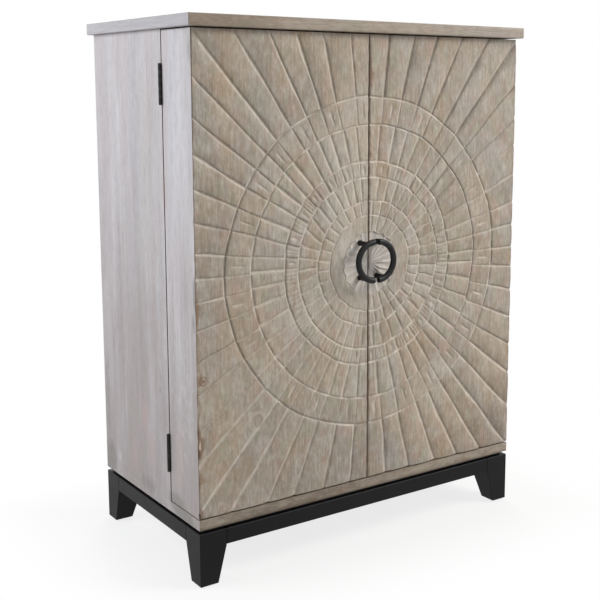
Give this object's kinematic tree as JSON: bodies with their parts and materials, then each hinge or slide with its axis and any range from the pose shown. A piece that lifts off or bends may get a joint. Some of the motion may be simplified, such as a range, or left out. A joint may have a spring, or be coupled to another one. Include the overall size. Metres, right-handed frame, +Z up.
{
  "type": "bar cabinet",
  "caption": "Tall bar cabinet with deep hinged doors that hold bottle shelves, a carved sunburst front, a split ring handle and a base with tapered legs.",
  "frame": {"origin": "on the floor under the centre of the whole object's bounding box, handle and slab included", "axes": "+Z up, the carved doors face -Y, +X to the right as seen from the front"},
  "size_m": [0.922, 0.5476, 1.219],
  "materials": {
    "pale_wood": "grey whitewash, satin",
    "carved_wood": "carved and brushed, warm grey wash, matt",
    "inner_wood": "grey-brown wash, matt",
    "black_wood": "black stain, satin",
    "black_metal": "satin black",
    "bright_steel": "plain",
    "catch_plastic": "matt brown",
    "glide_plastic": "light grey"
  },
  "bodies": {
    "cabinet": {"top_slab": "pale_wood", "bottom_board": "pale_wood", "side_panel_left": "pale_wood", "side_panel_right": "pale_wood", "back_panel": "pale_wood", "lower_shelf": "inner_wood", "middle_shelf": "inner_wood", "stemware_rail_1": "inner_wood", "stemware_rail_2": "inner_wood", "stemware_rail_3": "inner_wood", "bottle_bar_front": "inner_wood", "bottle_bar_back": "inner_wood", "catch_left": "catch_plastic", "catch_right": "catch_plastic", "base_spacer": "black_wood", "base_apron_front": "black_wood", "base_apron_back": "black_wood", "base_apron_left": "black_wood", "base_apron_right": "black_wood", "base_leg_front_left": "black_wood", "base_leg_front_right": "black_wood", "base_leg_back_left": "black_wood", "base_leg_back_right": "black_wood", "foot_glide_front_left": "glide_plastic", "foot_glide_front_right": "glide_plastic", "foot_glide_back_left": "glide_plastic", "foot_glide_back_right": "glide_plastic", "left_door_lower_hinge_frame_leaf": "black_metal", "left_door_upper_hinge_frame_leaf": "black_metal", "right_door_lower_hinge_frame_leaf": "black_metal", "right_door_upper_hinge_frame_leaf": "black_metal"},
    "left_door": {"left_door_carved_panel": "carved_wood", "left_door_outer_side": "pale_wood", "left_door_meeting_side": "pale_wood", "left_door_bottom_board": "inner_wood", "left_door_top_board": "inner_wood", "left_door_shelf_1": "inner_wood", "left_door_shelf_2": "inner_wood", "left_door_rail_1": "inner_wood", "left_door_rail_2": "inner_wood", "left_door_rail_3": "inner_wood", "left_door_strike_plate": "bright_steel", "left_door_handle": "black_metal", "left_door_lower_hinge_door_leaf": "black_metal", "left_door_upper_hinge_door_leaf": "black_metal"},
    "right_door": {"right_door_carved_panel": "carved_wood", "right_door_outer_side": "pale_wood", "right_door_meeting_side": "pale_wood", "right_door_bottom_board": "inner_wood", "right_door_top_board": "inner_wood", "right_door_shelf_1": "inner_wood", "right_door_shelf_2": "inner_wood", "right_door_rail_1": "inner_wood", "right_door_rail_2": "inner_wood", "right_door_rail_3": "inner_wood", "right_door_strike_plate": "bright_steel", "right_door_handle": "black_metal", "right_door_lower_hinge_door_leaf": "black_metal", "right_door_upper_hinge_door_leaf": "black_metal"}
  },
  "joints": [
    {"name": "left_door_hinge", "type": "hinge", "parent": "cabinet", "child": "left_door", "pos_m": [-0.454, -0.101, 0.6741], "axis": [0, 0, -1], "range_deg": [0, 180]},
    {"name": "right_door_hinge", "type": "hinge", "parent": "cabinet", "child": "right_door", "pos_m": [0.454, -0.101, 0.6741], "axis": [0, 0, 1], "range_deg": [0, 180]}
  ]
}
